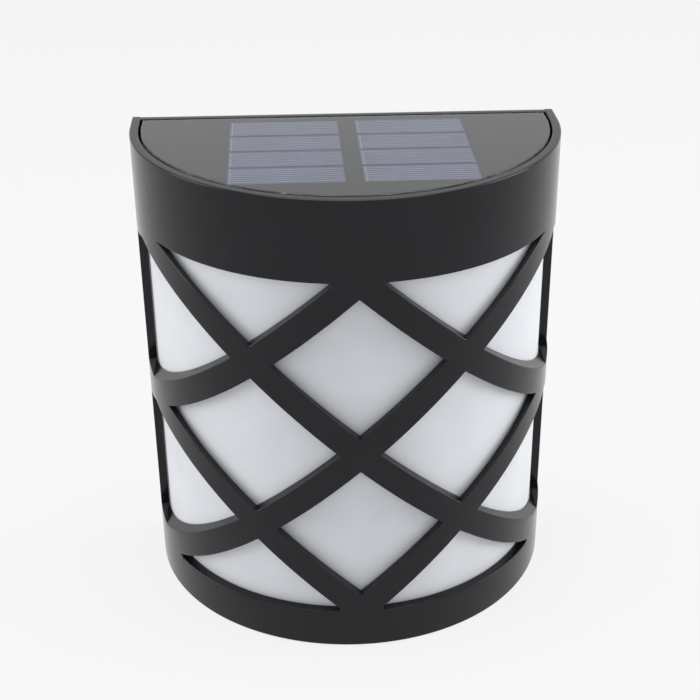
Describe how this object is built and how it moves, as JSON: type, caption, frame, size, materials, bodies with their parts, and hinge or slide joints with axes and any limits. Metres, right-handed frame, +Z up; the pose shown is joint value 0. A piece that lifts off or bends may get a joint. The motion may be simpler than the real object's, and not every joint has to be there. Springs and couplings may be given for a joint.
{
  "type": "solar wall light",
  "caption": "Half-round solar wall light with a diamond lattice over a frosted diffuser, a solar panel lid, and a rear cover with keyholes and a slide switch.",
  "frame": {"origin": "middle of the lower edge of the wall face, where the wall plane meets the base plane", "axes": "+X to the right as seen from the front, +Y into the wall, +Z up; the half-round front looks to -Y"},
  "size_m": [0.105, 0.06, 0.12],
  "materials": {
    "front_shell": "satin black moulded plastic",
    "diffuser": "frosted white plastic",
    "panel_tray": "satin black moulded plastic",
    "panel_board": "dark green laminate",
    "solar_cells_left": "blue silicon with fine silver fingers",
    "solar_cells_right": "blue silicon with fine silver fingers",
    "panel_resin": "clear satin resin",
    "lid_gasket": "matt black rubber",
    "lid_screws": "zinc plated",
    "reflector": "white moulded plastic",
    "led_board": "green laminate",
    "leds": "clear domes",
    "driver_chip": "black epoxy",
    "inductor": "black ferrite",
    "carrier_screws": "zinc plated",
    "battery_holder": "white moulded plastic",
    "battery_cell": "steel can in a green sleeve",
    "battery_plate": "nickel plated",
    "battery_spring": "nickel plated",
    "battery_tab": "nickel plated",
    "rear_cover": "satin black moulded plastic",
    "rear_gasket": "matt black rubber",
    "rear_screws": "zinc plated",
    "switch_frame": "tin plated",
    "switch_body": "black moulded plastic",
    "switch_terminals": "tinned copper",
    "switch_knob": "white moulded plastic",
    "switch_screws": "zinc plated",
    "panel_wire_red": "red insulation",
    "panel_wire_black": "black insulation",
    "battery_wire_red": "red insulation",
    "battery_wire_black": "black insulation",
    "switch_wire_left": "red insulation",
    "switch_wire_right": "red insulation"
  },
  "bodies": {
    "housing": {"front_shell": "front_shell", "diffuser": "diffuser", "panel_tray": "panel_tray", "panel_board": "panel_board", "solar_cells_left": "solar_cells_left", "solar_cells_right": "solar_cells_right", "panel_resin": "panel_resin", "lid_gasket": "lid_gasket", "lid_screws": "lid_screws", "reflector": "reflector", "led_board": "led_board", "leds": "leds", "driver_chip": "driver_chip", "inductor": "inductor", "carrier_screws": "carrier_screws", "battery_holder": "battery_holder", "battery_cell": "battery_cell", "battery_plate": "battery_plate", "battery_spring": "battery_spring", "battery_tab": "battery_tab", "rear_cover": "rear_cover", "rear_gasket": "rear_gasket", "rear_screws": "rear_screws", "switch_frame": "switch_frame", "switch_body": "switch_body", "switch_terminals": "switch_terminals", "switch_screws": "switch_screws", "panel_wire_red": "panel_wire_red", "panel_wire_black": "panel_wire_black", "battery_wire_red": "battery_wire_red", "battery_wire_black": "battery_wire_black", "switch_wire_left": "switch_wire_left", "switch_wire_right": "switch_wire_right"},
    "switch_lever": {"switch_knob": "switch_knob"}
  },
  "joints": [
    {"name": "switch_slide", "type": "slide", "parent": "housing", "child": "switch_lever", "axis": [1, 0, 0], "range_m": [0, 0.002]}
  ]
}
